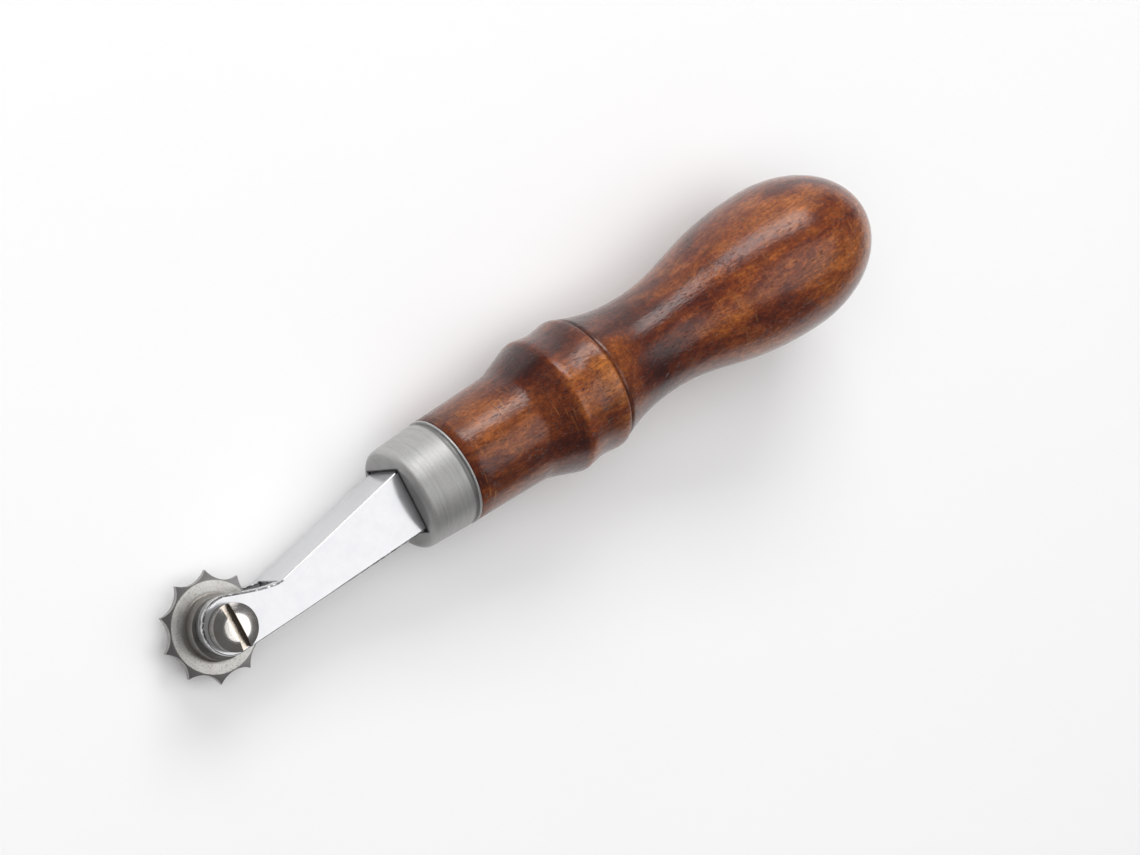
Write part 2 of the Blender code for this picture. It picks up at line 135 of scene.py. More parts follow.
def mix(tree, factor, first, second, blend="MIX"):
    node = add(tree, "ShaderNodeMix", data_type="RGBA", blend_type=blend)
    for socket, value in ((node.inputs["Factor"], factor), (node.inputs[6], first),
                          (node.inputs[7], second)):
        if isinstance(value, bpy.types.NodeSocket):
            tree.links.new(value, socket)
        else:
            socket.default_value = value
    return node.outputs[2]


def new_material(name):
    made = bpy.data.materials.new(name)
    made.use_nodes = True
    tree = made.node_tree
    return made, tree, tree.nodes["Principled BSDF"]


def tool_coordinates(tree, shift=(0.0, 0.0, 0.0)):
    """Object coordinates turned into the tool's axes, in millimetres."""
    origin = Matrix.Translation(Vector(shift) * MM) @ TOOL
    inverse = origin.inverted()
    texture = add(tree, "ShaderNodeTexCoord")
    mapping = add(tree, "ShaderNodeMapping",
                  {"Vector": texture.outputs["Object"],
                   "Location": inverse.to_translation() * 1000.0,
                   "Rotation": inverse.to_euler(),
                   "Scale": (1000.0, 1000.0, 1000.0)})
    return mapping.outputs["Vector"]


def stretched(tree, coordinates, scale):
    return add(tree, "ShaderNodeMapping", {"Vector": coordinates, "Scale": scale}).outputs["Vector"]


def noise(tree, vector, scale, detail=4.0, roughness=0.5, distortion=0.0):
    return add(tree, "ShaderNodeTexNoise",
               {"Vector": vector, "Scale": scale, "Detail": detail,
                "Roughness": roughness, "Distortion": distortion}).outputs["Fac"]


def grain(tree, place, stretch, detail=4.0, roughness=0.5, distortion=0.0):
    """Noise with its own scale along each axis."""
    return noise(tree, stretched(tree, place, stretch), 1.0, detail, roughness, distortion)


def add_relief(tree, shader, height, strength, depth, socket="Normal"):
    """Shades a height pattern of the given depth onto the surface or its coat."""
    bump = add(tree, "ShaderNodeBump",
               {"Height": height, "Strength": strength, "Distance": depth}).outputs["Normal"]
    tree.links.new(bump, shader.inputs[socket])


def radius_about(tree, coordinates, axis):
    """Distance from the named axis of the tool, in millimetres."""
    parts = add(tree, "ShaderNodeSeparateXYZ", {"Vector": coordinates}).outputs
    others = [parts[name] for name in "XYZ" if name != axis]
    squares = [times(tree, part, part) for part in others]
    return math_node(tree, "SQRT", plus(tree, squares[0], squares[1]))


# --- Materials ---------------------------------------------------------------------

def stained_wood():
    """Reddish brown stain soaked unevenly into beech: amber and dark mottling, straight
    fibres, short ray flecks and open pores, under a brushed-on glossy lacquer."""
    made, tree, shader = new_material("stained_wood")
    place = tool_coordinates(tree)
    along = add(tree, "ShaderNodeSeparateXYZ", {"Vector": place}).outputs["X"]

    blotch = grain(tree, place, (0.07, 0.14, 0.14), 3.0, 0.5, 0.5)
    mottle = grain(tree, place, (0.42, 0.70, 0.70), 8.0, 0.72, 0.35)
    fibre = grain(tree, place, (0.30, 3.2, 3.2), 5.0, 0.65, 0.15)
    fine = grain(tree, place, (1.4, 11.0, 11.0), 3.0, 0.6)
    streak = grain(tree, place, (0.06, 0.60, 0.60), 5.0, 0.62, 0.6)

    soak = plus(tree, times(tree, blotch, 0.55), times(tree, mottle, 0.45))
    colour = ramp(tree, soak, [(0.36, (0.060, 0.0090, 0.0034)), (0.43, (0.110, 0.0190, 0.0052)),
                               (0.50, (0.180, 0.0400, 0.0086)), (0.57, (0.265, 0.0740, 0.0140)),
                               (0.65, (0.380, 0.116, 0.024))])
    speckle = grain(tree, place, (1.3, 2.4, 2.4), 5.0, 0.7, 0.2)
    speckle_tone = ramp(tree, speckle, [(0.34, (0.58, 0.46, 0.40)), (0.48, (0.92, 0.90, 0.88)),
                                        (0.62, (1.50, 1.48, 1.40))])
    colour = mix(tree, 0.75, colour, speckle_tone, "MULTIPLY")
    fibre_tone = ramp(tree, fibre, [(0.34, (0.50, 0.42, 0.40)), (0.50, (0.95, 0.93, 0.92)),
                                    (0.64, (1.25, 1.24, 1.20))])
    colour = mix(tree, 0.40, colour, fibre_tone, "MULTIPLY")
    streak_mask = ramp(tree, streak, [(0.36, 1.0), (0.47, 0.0)])
    colour = mix(tree, times(tree, streak_mask, 0.42), colour, (0.044, 0.0070, 0.0036, 1.0))
    fine_tone = ramp(tree, fine, [(0.36, (0.66, 0.60, 0.58)), (0.52, 1.0)])
    colour = mix(tree, 0.6, colour, fine_tone, "MULTIPLY")

    # Painted shade in the hollows beside the two ridges and along the waist, painted highlights on
    # the two ridge crests; the grip a little darker, the pommel a little lighter.
    painted_shade_and_highlight = ramp(tree, times(tree, along, 0.01),
                  [(0.430, (0.66, 0.59, 0.57)), (0.540, (0.86, 0.82, 0.80)),
                   (0.580, (0.45, 0.30, 0.26)), (0.608, (0.36, 0.22, 0.20)),
                   (0.620, (1.40, 1.50, 1.40)), (0.634, (1.10, 1.12, 1.10)),
                   (0.655, (0.62, 0.52, 0.48)), (0.680, (1.10, 1.20, 1.10)),
                   (0.692, (1.15, 1.25, 1.15)),
                   (0.699, (0.36, 0.26, 0.24)), (0.720, (0.85, 0.76, 0.72)),
                   (0.780, (0.46, 0.31, 0.28)), (0.850, (0.90, 0.86, 0.84)),
                   (0.920, 1.15)])
    colour = mix(tree, 0.90, colour, painted_shade_and_highlight, "MULTIPLY")

    # Short pale scratches that run round the handle, left by the sandpaper on the lathe.
    scratches = grain(tree, place, (1.9, 0.24, 0.24), 4.0, 0.65, 0.3)
    scratch_gate = grain(tree, place, (0.07, 0.10, 0.10), 2.0)
    scratch_mask = times(tree, ramp(tree, scratches, [(0.58, 0.0), (0.70, 1.0)]),
                         ramp(tree, scratch_gate, [(0.42, 0.0), (0.62, 0.45)]))
    colour = mix(tree, scratch_mask, colour, (0.42, 0.165, 0.045, 1.0))

    flecks = add(tree, "ShaderNodeTexVoronoi",
                 {"Vector": stretched(tree, place, (0.70, 3.6, 3.6)), "Scale": 1.0,
                  "Randomness": 1.0}).outputs["Distance"]
    fleck_gate = grain(tree, place, (0.25, 0.5, 0.5), 3.0)
    fleck_mask = times(tree, ramp(tree, flecks, [(0.14, 1.0), (0.26, 0.0)]),
                       ramp(tree, fleck_gate, [(0.46, 0.0), (0.52, 1.0)]))
    pores = add(tree, "ShaderNodeTexVoronoi",
                {"Vector": stretched(tree, place, (0.34, 1.9, 1.9)), "Scale": 1.0,
                 "Randomness": 1.0}).outputs["Distance"]
    pore_gate = grain(tree, place, (0.15, 0.3, 0.3), 2.0)
    pore_mask = times(tree, ramp(tree, pores, [(0.09, 1.0), (0.16, 0.0)]),
                      ramp(tree, pore_gate, [(0.45, 0.0), (0.52, 1.0)]))
    dents = math_node(tree, "MAXIMUM", pore_mask, times(tree, fleck_mask, 0.8))
    colour = mix(tree, times(tree, dents, 0.75), colour, (0.014, 0.003, 0.002, 1.0))
    tree.links.new(colour, shader.inputs["Base Color"])

    swell = grain(tree, place, (0.25, 0.6, 0.6), 2.0)
    brush = grain(tree, place, (1.5, 2.2, 2.2), 5.0, 0.7)
    height = plus(tree, times(tree, swell, 0.5), times(tree, brush, 0.25))
    height = plus(tree, height, times(tree, fibre, 0.16))
    height = minus(tree, height, times(tree, dents, 0.55))
    add_relief(tree, shader, height, 0.8, 0.2 * MM)
    add_relief(tree, shader, height, 0.8, 0.16 * MM, "Coat Normal")
    tree.links.new(ramp(tree, fibre, [(0.3, 0.55), (0.7, 0.42)]), shader.inputs["Roughness"])
    shader.inputs["Specular IOR Level"].default_value = 0.15
    shader.inputs["Coat Weight"].default_value = 0.9
    shader.inputs["Coat Roughness"].default_value = 0.11
    shader.inputs["Coat IOR"].default_value = 1.45
    return made


def brushed_ferrule_steel():
    """Satin steel with fine lines round the handle's centre line; painted shade on the front face,
    a painted shadow in the corner round the fork and a painted dark reflection in the groove."""
    made, tree, shader = new_material("brushed_ferrule_steel")
    place = tool_coordinates(tree)
    lines = grain(tree, place, (16.0, 0.5, 0.5), 4.0, 0.7)
    broad = grain(tree, place, (2.4, 0.16, 0.16), 3.0, 0.6)
    cloud = noise(tree, place, 0.45, 4.0, 0.6)
    grit = noise(tree, place, 6.0, 4.0, 0.7)
    tone = ramp(tree, lines, [(0.30, (0.47, 0.467, 0.46)), (0.70, (0.60, 0.597, 0.59))])
    tone = mix(tree, 0.6, tone, ramp(tree, broad, [(0.35, 0.78), (0.65, 1.0)]), "MULTIPLY")
    tone = mix(tree, 0.35, tone, ramp(tree, grit, [(0.35, 0.7), (0.55, 1.0)]), "MULTIPLY")
    parts = add(tree, "ShaderNodeSeparateXYZ", {"Vector": place}).outputs
    # Painted shadow: near black in the corner round the fork's window, fading with the distance
    # from it.
    aside = minus(tree, math_node(tree, "ABSOLUTE", parts["Y"]),
                  (BLOCK_WIDTH / 2.0 + SEAT_GAP) / MM)
    above = minus(tree, math_node(tree, "ABSOLUTE", parts["Z"]), (BLOCK_HALF + SEAT_GAP) / MM)
    aside = times(tree, math_node(tree, "MAXIMUM", aside, 0.0), 3.0)
    above = math_node(tree, "MAXIMUM", above, 0.0)
    away = math_node(tree, "SQRT", plus(tree,
                                        times(tree, aside, aside),
                                        times(tree, above, above)))
    away = plus(tree, away, times(tree, cloud, 0.4))
    corner_shadow_reach = ramp(tree, times(tree, away, 0.5), [(0.22, 1.0), (0.50, 0.0)])
    # Painted shade darkens the front face; the painted shadow round the window is kept to that
    # face.
    front = ramp(tree, minus(tree, parts["X"], FERRULE_FRONT / MM), [(0.15, 1.0), (0.45, 0.0)])
    tone = mix(tree, times(tree, front, 0.35), tone, (0.20, 0.198, 0.192, 1.0))
    corner_shadow = times(tree, corner_shadow_reach, front)
    tone = mix(tree, times(tree, corner_shadow, 0.93), tone, (0.03, 0.028, 0.026, 1.0))
    # Painted dark reflection in the cove of the back groove.
    from_back = minus(tree, FERRULE_BACK / MM, parts["X"])
    cove_reflection = ramp(tree, times(tree, from_back, 0.5),
                     [(0.20, 0.0), (0.23, 1.0), (0.48, 0.8), (0.64, 0.0)])
    tone = mix(tree, times(tree, cove_reflection, 0.62), tone, (0.10, 0.098, 0.094, 1.0))
    tree.links.new(tone, shader.inputs["Base Color"])
    shader.inputs["Metallic"].default_value = 0.8
    rough = plus(tree, times(tree, lines, 0.16), times(tree, cloud, 0.16))
    rough = plus(tree, rough, 0.36)
    tree.links.new(rough, shader.inputs["Roughness"])
    height = plus(tree, lines, times(tree, broad, 0.6))
    height = plus(tree, height, times(tree, grit, 0.4))
    add_relief(tree, shader, height, 0.4, 0.03 * MM)
    return made


def bright_fork_plating():
    """Bright plating over ground steel, with pin-prick specks and a faint haze."""
    made, tree, shader = new_material("bright_fork_plating")
    place = tool_coordinates(tree)
    specks = add(tree, "ShaderNodeTexVoronoi", {"Vector": place, "Scale": 1.5,
                                                "Randomness": 1.0}).outputs["Distance"]
    speck_gate = noise(tree, place, 0.8, 2.0)
    speck_mask = times(tree, ramp(tree, specks, [(0.05, 1.0), (0.10, 0.0)]),
                       ramp(tree, speck_gate, [(0.54, 0.0), (0.62, 1.0)]))
    haze = noise(tree, place, 0.5, 5.0, 0.6)
    tone = ramp(tree, haze, [(0.3, (0.61, 0.615, 0.632)), (0.7, (0.67, 0.672, 0.685))])
    tone = mix(tree, times(tree, speck_mask, 0.75), tone, (0.20, 0.19, 0.19, 1.0))

    # The round nose of the ears gets painted reflections: uneven dark and bright bands across its
    # thickness.
    parts = add(tree, "ShaderNodeSeparateXYZ", {"Vector": place}).outputs
    from_ear = radius_about(tree, tool_coordinates(tree, (EAR_CENTRE[0] / MM,
                                                          EAR_CENTRE[1] / MM, 0.0)), "Z")
    on_nose = times(tree,
                    ramp(tree, times(tree, from_ear, 0.1),
                         [(0.405, 0.0), (0.415, 1.0)]),
                    ramp(tree, times(tree, parts["X"], 0.1),
                         [(0.10, 1.0), (0.35, 0.0)]))
    reflection_wobble = grain(tree, place, (0.9, 0.9, 2.0), 4.0, 0.7)
    height_up = plus(tree, math_node(tree, "ABSOLUTE", parts["Z"]),
                     times(tree, minus(tree, reflection_wobble, 0.5), 1.1))
    nose_reflection_tone = ramp(tree, times(tree, height_up, 0.1),
                     [(0.250, 0.20), (0.300, 0.30), (0.330, 0.90), (0.355, 0.45),
                      (0.390, 0.55), (0.415, 1.0)])
    tone = mix(tree, times(tree, on_nose, 0.70), tone, nose_reflection_tone, "MULTIPLY")
    tree.links.new(tone, shader.inputs["Base Color"])
    shader.inputs["Metallic"].default_value = 0.72
    scratches = grain(tree, place, (0.6, 12.0, 12.0), 3.0, 0.6)
    rough = plus(tree, times(tree, scratches, 0.10), times(tree, haze, 0.14))
    tree.links.new(plus(tree, rough, 0.07), shader.inputs["Roughness"])
    ripple = grain(tree, place, (0.25, 0.5, 0.5), 2.0)
    height = minus(tree, ripple, speck_mask)
    add_relief(tree, shader, height, 0.2, 0.03 * MM)
    return made


def frayed_fork_edge():
    """The broken edges of the fork, where the plating is thin, rough and nicked."""
    made, tree, shader = new_material("frayed_fork_edge")
    place = tool_coordinates(tree)
    nicks = grain(tree, place, (1.6, 2.4, 2.4), 5.0, 0.7)
    runs = grain(tree, place, (0.16, 0.2, 0.2), 2.0)
    parts = add(tree, "ShaderNodeSeparateXYZ", {"Vector": place}).outputs
    far_along = times(tree, parts["X"], 0.02)
    upper = ramp(tree, plus(tree, times(tree, parts["Y"], 0.1), 0.5), [(0.34, 0.0), (0.38, 1.0)])
    on_ears = times(tree, upper, ramp(tree, far_along, [(0.200, 1.0), (0.212, 0.0)]))
    below = times(tree, minus(tree, 1.0, upper), ramp(tree, far_along, [(0.30, 0.0), (0.50, 1.0)]))
    worn_stretch = math_node(tree, "MAXIMUM", on_ears, below)
    worn = times(tree, ramp(tree, nicks, [(0.43, 0.0), (0.49, 1.0)]),
                 ramp(tree, runs, [(0.42, 0.75), (0.56, 1.0)]))
    worn = times(tree, worn, worn_stretch)
    tone = mix(tree, worn, (0.72, 0.72, 0.73, 1.0), (0.09, 0.085, 0.082, 1.0))
    tree.links.new(tone, shader.inputs["Base Color"])
    shader.inputs["Metallic"].default_value = 1.0
    tree.links.new(ramp(tree, worn, [(0.0, 0.18), (1.0, 0.6)]), shader.inputs["Roughness"])
    add_relief(tree, shader, minus(tree, 1.0, worn), 0.5, 0.05 * MM)
    return made


def rings_about_axle(tree, place, per_mm, detail=4.0):
    """Noise that only changes with the distance from the axle and the height along it."""
    radius = radius_about(tree, place, "Z")
    height = add(tree, "ShaderNodeSeparateXYZ", {"Vector": place}).outputs["Z"]
    spread = add(tree, "ShaderNodeCombineXYZ",
                 {"X": times(tree, radius, per_mm),
                  "Y": times(tree, height, per_mm)}).outputs["Vector"]
    return noise(tree, spread, 1.0, detail, 0.7), radius, height


def ground_wheel_steel():
    """Uncoated steel: a pitted, turned ring, smoother and darker ground teeth round it and
    a turned hub darkened with painted shade, with a painted highlight line round its foot."""
    made, tree, shader = new_material("ground_wheel_steel")
    place = tool_coordinates(tree, (0.0, -AXLE_DROP / MM, 0.0))
    rings, radius, height_along = rings_about_axle(tree, place, 6.0)
    pits = noise(tree, place, 4.5, 6.0, 0.75)
    specks = noise(tree, place, 3.2, 5.0, 0.8)
    stain = noise(tree, place, 0.55, 4.0, 0.6)
    tooth = ramp(tree, times(tree, radius, 0.1), [(0.655, 0.0), (0.665, 1.0)])
    hub = ramp(tree, times(tree, radius, 0.1), [(0.47, 1.0), (0.525, 0.0)])
    raised_hub_shade = ramp(tree, times(tree, height_along, 0.1), [(0.0, 0.0), (0.02, 1.0)])

    ring_tone = ramp(tree, rings, [(0.3, (0.80, 0.79, 0.76)), (0.7, (0.97, 0.96, 0.93))])
    ring_tone = mix(tree, 0.35, ring_tone, ramp(tree, pits, [(0.36, (0.52, 0.50, 0.48)),
                                                             (0.50, 1.0)]), "MULTIPLY")
    ring_tone = mix(tree, 0.85, ring_tone, ramp(tree, specks, [(0.36, (0.22, 0.20, 0.19)),
                                                               (0.42, 1.0)]),
                    "MULTIPLY")
    tooth_tone = ramp(tree, pits, [(0.3, (0.30, 0.292, 0.288)), (0.7, (0.39, 0.38, 0.375))])
    tone = mix(tree, tooth, ring_tone, tooth_tone)
    # Painted shade on the hub, spreading a little onto the ring round it.
    tone = mix(tree, times(tree, hub, 0.80), tone, (0.20, 0.175, 0.155, 1.0))
    # Painted highlight: a thin bright line round the foot of the hub's fillet.
    fillet_highlight = ramp(tree, times(tree, radius, 0.1), [(0.494, 0.0), (0.499, 1.0), (0.506, 0.0)])
    tone = mix(tree, times(tree, fillet_highlight, 0.6), tone, (0.85, 0.83, 0.79, 1.0))
    # Painted shade on the hub's upper part, under the near ear.
    tone = mix(tree, times(tree, raised_hub_shade, 0.6), tone, (0.24, 0.235, 0.23, 1.0))
    tone = mix(tree, 0.4, tone, ramp(tree, stain, [(0.35, (0.80, 0.76, 0.72)),
                                                   (0.6, 1.0)]), "MULTIPLY")
    tree.links.new(tone, shader.inputs["Base Color"])
    shader.inputs["Metallic"].default_value = 1.0
    rough = mix(tree, tooth, ramp(tree, pits, [(0.3, 0.58), (0.7, 0.38)]),
                ramp(tree, pits, [(0.3, 0.40), (0.7, 0.28)]))
    tree.links.new(rough, shader.inputs["Roughness"])
    relief = plus(tree, times(tree, rings, 0.7), times(tree, pits, 0.7))
    smooth = minus(tree, 1.0, times(tree, tooth, 0.75))
    add_relief(tree, shader, times(tree, relief, smooth), 0.4, 0.04 * MM)
    return made


def polished_screw_steel():
    """Turned and polished steel whose fine rings spread its reflections into a fan."""
    made, tree, shader = new_material("polished_screw_steel")
    place = tool_coordinates(tree, (0.0, -AXLE_DROP / MM, 0.0))
    rings, radius, height_along = rings_about_axle(tree, place, 14.0)
    haze = noise(tree, place, 1.2, 4.0, 0.6)
    warm = noise(tree, place, 0.45, 2.0)
    tone = ramp(tree, rings, [(0.3, (0.46, 0.445, 0.43)), (0.7, (0.60, 0.59, 0.575))])
    tone = mix(tree, 0.5, tone, ramp(tree, warm, [(0.40, (0.92, 0.80, 0.74)),
                                                  (0.60, 1.0)]), "MULTIPLY")
    top = ramp(tree, minus(tree, height_along, 6.6), [(0.55, 0.0), (0.62, 1.0)])
    tone = mix(tree, top, tone, (0.86, 0.83, 0.79, 1.0))
    # Painted shade on the head's round side.
    head_side_shade = ramp(tree, times(tree, radius, 0.1), [(0.338, 0.0), (0.343, 1.0)])
    tone = mix(tree, times(tree, head_side_shade, 0.6), tone, (0.14, 0.138, 0.135, 1.0))
    below_top = minus(tree, HEAD_TOP / MM, height_along)
    across = math_node(tree, "ABSOLUTE",
                       add(tree, "ShaderNodeSeparateXYZ", {"Vector": place}).outputs["X"])
    slot_wall = SLOT_WIDTH / MM / 4.0
    slot_floor = SLOT_DEPTH / MM / 2.0
    in_slot = times(tree,
                    ramp(tree, times(tree, across, 0.5),
                         [(slot_wall + 0.005, 1.0),
                          (slot_wall + 0.010, 0.0)]),
                    ramp(tree, times(tree, below_top, 0.5),
                         [(0.02, 0.0), (0.06, 1.0), (0.632, 1.0), (0.64, 0.0)]))
    # Painted shade on the driver slot's walls, darkest half way down, over a light brown floor.
    slot_shade_and_floor = ramp(tree, times(tree, below_top, 0.5),
                     [(0.05, (0.30, 0.245, 0.195)), (0.30, (0.085, 0.058, 0.042)),
                      (slot_floor - 0.02, (0.13, 0.095, 0.07)),
                      (slot_floor - 0.005, (0.74, 0.66, 0.57))])
    tone = mix(tree, in_slot, tone, slot_shade_and_floor)
    tree.links.new(tone, shader.inputs["Base Color"])
    shader.inputs["Metallic"].default_value = 1.0
    rough = plus(tree, times(tree, haze, 0.16), times(tree, rings, 0.08))
    tree.links.new(plus(tree, rough, 0.10), shader.inputs["Roughness"])
    add_relief(tree, shader, rings, 0.6, 0.03 * MM)
    return made


def pale_floor():
    made, tree, shader = new_material("pale_floor")
    place = add(tree, "ShaderNodeTexCoord").outputs["Object"]
    tone = ramp(tree, noise(tree, place, 6.0, 3.0), [(0.3, 0.94), (0.7, 0.96)])
    tree.links.new(tone, shader.inputs["Base Color"])
    shader.inputs["Roughness"].default_value = 0.9
    return made


# --- Geometry Nodes trees ------------------------------------------------------------

def geometry_tree(name, sockets):
    """An empty tree with a geometry in and out and the named inputs between them."""
    tree = bpy.data.node_groups.new(name, "GeometryNodeTree")
    tree.interface.new_socket("Geometry", in_out="INPUT", socket_type="NodeSocketGeometry")
    for label, kind, value in sockets:
        socket = tree.interface.new_socket(label, in_out="INPUT", socket_type=kind)
        if value is not None:
            socket.default_value = value
    tree.interface.new_socket("Geometry", in_out="OUTPUT", socket_type="NodeSocketGeometry")
    return tree, tree.nodes.new("NodeGroupInput"), tree.nodes.new("NodeGroupOutput")


def close_tree(tree, geometry, group_in, group_out):
    """Realises what is left as instances, gives it its material and ends the tree."""
    real = add(tree, "GeometryNodeRealizeInstances", {"Geometry": geometry})
    dressed = add(tree, "GeometryNodeSetMaterial",
                  {"Geometry": real.outputs[0], "Material": group_in.outputs["Material"]})
    tree.links.new(dressed.outputs[0], group_out.inputs[0])


def lathe_tree():
    """Turns a row of (along, 0, radius) points about X into a skin."""
    tree, group_in, group_out = geometry_tree("lathe", [
        ("Steps", "NodeSocketInt", 96), ("Material", "NodeSocketMaterial", None)])
    profile = group_in.outputs["Geometry"]
    size = add(tree, "GeometryNodeAttributeDomainSize", {"Geometry": profile})
    count = size.outputs["Point Count"]
    columns = plus(tree, group_in.outputs["Steps"], 1.0)
    grid = add(tree, "GeometryNodeMeshGrid", {"Vertices X": columns, "Vertices Y": count})
    index = add(tree, "GeometryNodeInputIndex").outputs[0]
    row = math_node(tree, "MODULO", index, count)
    column = math_node(tree, "FLOOR", math_node(tree, "DIVIDE", index, count))
    position = add(tree, "GeometryNodeInputPosition").outputs[0]
    sample = add(tree, "GeometryNodeSampleIndex",
                 {"Geometry": profile, "Index": row}, data_type="FLOAT_VECTOR")
    tree.links.new(position, sample.inputs["Value"])
    point = add(tree, "ShaderNodeSeparateXYZ", {0: sample.outputs[0]}).outputs
    share = math_node(tree, "DIVIDE", column, group_in.outputs["Steps"])
    angle = times(tree, share, TURN)
    across = times(tree, point["Z"], math_node(tree, "SINE", angle))
    down = times(tree, point["Z"], math_node(tree, "COSINE", angle))
    place = add(tree, "ShaderNodeCombineXYZ", {"X": point["X"], "Y": across, "Z": down})
    moved = add(tree, "GeometryNodeSetPosition",
                {"Geometry": grid.outputs["Mesh"], "Position": place.outputs[0]})
    merged = add(tree, "GeometryNodeMergeByDistance",
                 {"Geometry": moved.outputs[0], "Distance": WELD})
    close_tree(tree, merged.outputs[0], group_in, group_out)
    return tree


def ring_of_copies_tree():
    """Repeats one sector round Z and welds the copies into one body."""
    tree, group_in, group_out = geometry_tree("ring_of_copies", [
        ("Copies", "NodeSocketInt", 10), ("Material", "NodeSocketMaterial", None)])
    points = add(tree, "GeometryNodePoints", {"Count": group_in.outputs["Copies"]})
    index = add(tree, "GeometryNodeInputIndex").outputs[0]
    share = math_node(tree, "DIVIDE", index, group_in.outputs["Copies"])
    turn = add(tree, "ShaderNodeCombineXYZ", {"Z": times(tree, share, TURN)})
    copies = add(tree, "GeometryNodeInstanceOnPoints",
                 {"Points": points.outputs[0], "Instance": group_in.outputs["Geometry"],
                  "Rotation": turn.outputs[0]})
    real = add(tree, "GeometryNodeRealizeInstances", {"Geometry": copies.outputs[0]})
    merged = add(tree, "GeometryNodeMergeByDistance",
                 {"Geometry": real.outputs[0], "Distance": WELD})
    close_tree(tree, merged.outputs[0], group_in, group_out)
    return tree


def thread_tree():
    """A ridge wound round Z: a spiral curve swept with a small triangle."""
    tree, group_in, group_out = geometry_tree("screw_thread", [
        ("Core Radius", "NodeSocketFloat", 0.002), ("Ridge", "NodeSocketFloat", 0.0002),
        ("Length", "NodeSocketFloat", 0.002), ("Turns", "NodeSocketFloat", 4.0),
        ("Material", "NodeSocketMaterial", None)])
    core = group_in.outputs["Core Radius"]
    spiral = add(tree, "GeometryNodeCurveSpiral",
                 {"Resolution": 48, "Rotations": group_in.outputs["Turns"],
                  "Start Radius": core, "End Radius": core,
                  "Height": group_in.outputs["Length"]})
    section = add(tree, "GeometryNodeCurvePrimitiveCircle",
                  {"Resolution": 3, "Radius": group_in.outputs["Ridge"]}, mode="RADIUS")
    swept = add(tree, "GeometryNodeCurveToMesh",
                {"Curve": spiral.outputs[0], "Profile Curve": section.outputs[0],
                 "Fill Caps": True})
    close_tree(tree, swept.outputs[0], group_in, group_out)
    return tree


# --- Mesh helpers --------------------------------------------------------------------

def link_mesh(name, mesh):
    made = bpy.data.objects.new(name, mesh)
    bpy.context.scene.collection.objects.link(made)
    return made


def mesh_object(name, points, faces=()):
    mesh = bpy.data.meshes.new(name)
    edges = [] if faces else [(i, i + 1) for i in range(len(points) - 1)]
    mesh.from_pydata(points, edges, faces)
    return link_mesh(name, mesh)


def set_inputs(made, tree, values):
    """Adds a Geometry Nodes modifier and sets its inputs by their identifiers."""
    change = made.modifiers.new(tree.name, "NODES")
    change.node_group = tree
    for item in tree.interface.items_tree:
        if item.in_out == "INPUT" and item.name in values:
            change[item.identifier] = values[item.name]


def freeze(made):
    """Replaces the object's mesh with its evaluated shape and drops the modifiers."""
    graph = bpy.context.evaluated_depsgraph_get()
    shape = bpy.data.meshes.new_from_object(made.evaluated_get(graph))
    made.modifiers.clear()
    made.data = shape


def clean(made, sharp_degrees=None):
    """Merges doubles, points every face outwards and marks the crisp edges."""
    work = bmesh.new()
    work.from_mesh(made.data)
    bmesh.ops.remove_doubles(work, verts=work.verts, dist=0.0004 * MM)
    bmesh.ops.recalc_face_normals(work, faces=work.faces)
    work.to_mesh(made.data)
    work.free()
    made.data.shade_smooth()
    if sharp_degrees is not None:
        made.data.set_sharp_from_angle(angle=math.radians(sharp_degrees))


def place_piece(made, body, slot, *nodes):
    """Puts a finished piece's place into its mesh and hands it to its CAD body."""
    made.data.transform(TOOL)
    made.data.update()
    if nodes:
        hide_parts(*nodes)
    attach(made, body)


def subtract(target, tool):
    shape = target.data
    tool.data.materials.clear()
    tool.data.materials.append(shape.materials[shape.polygons[0].material_index])
    change = target.modifiers.new("cut", "BOOLEAN")
    change.operation = "DIFFERENCE"
    change.solver = "EXACT"
    change.material_mode = "TRANSFER"
    change.object = tool
    freeze(target)
    bpy.data.objects.remove(tool)


def round_edges(target, width, segments, angle=40.0, material_index=-1):
    change = target.modifiers.new("rounded edges", "BEVEL")
    change.width = width
    change.segments = segments
    change.limit_method = "ANGLE"
    change.angle_limit = math.radians(angle)
    change.material = material_index
    freeze(target)


def level_broad_faces(target):
    """Lets the broad faces keep their own direction, so only the rounded edges shade
    smoothly."""
    change = target.modifiers.new("level faces", "WEIGHTED_NORMAL")
    change.keep_sharp = True
    freeze(target)


def arc(centre, radius, start, end, steps):
    return [(centre[0] + radius * math.cos(start + (end - start) * i / steps),
             centre[1] + radius * math.sin(start + (end - start) * i / steps))
            for i in range(steps + 1)]


def bezier(start, first, second, end, steps):
    points = []
    for index in range(1, steps + 1):
        t = index / steps
        u = 1.0 - t
        weights = (u * u * u, 3.0 * u * u * t, 3.0 * u * t * t, t * t * t)
        points.append(tuple(sum(weight * knot[axis] for weight, knot
                                in zip(weights, (start, first, second, end)))
                            for axis in (0, 1)))
    return points


def prism(name, outline, low, high):
    count = len(outline)
    points = [(x, y, low) for x, y in outline] + [(x, y, high) for x, y in outline]
    faces = [tuple(reversed(range(count))), tuple(range(count, 2 * count))]
    faces += [(i, (i + 1) % count, count + (i + 1) % count, count + i) for i in range(count)]
    return mesh_object(name, points, faces)


def box(name, low, high):
    outline = [(low[0], low[1]), (high[0], low[1]), (high[0], high[1]), (low[0], high[1])]
    return prism(name, outline, low[2], high[2])


def lathe(name, tree, profile, steps, look, sharp_degrees=30.0):
    made = mesh_object(name, [(along, 0.0, radius) for along, radius in profile])
    set_inputs(made, tree, {"Steps": steps, "Material": look})
    freeze(made)
    clean(made, sharp_degrees)
    return made


# --- Pieces --------------------------------------------------------------------------

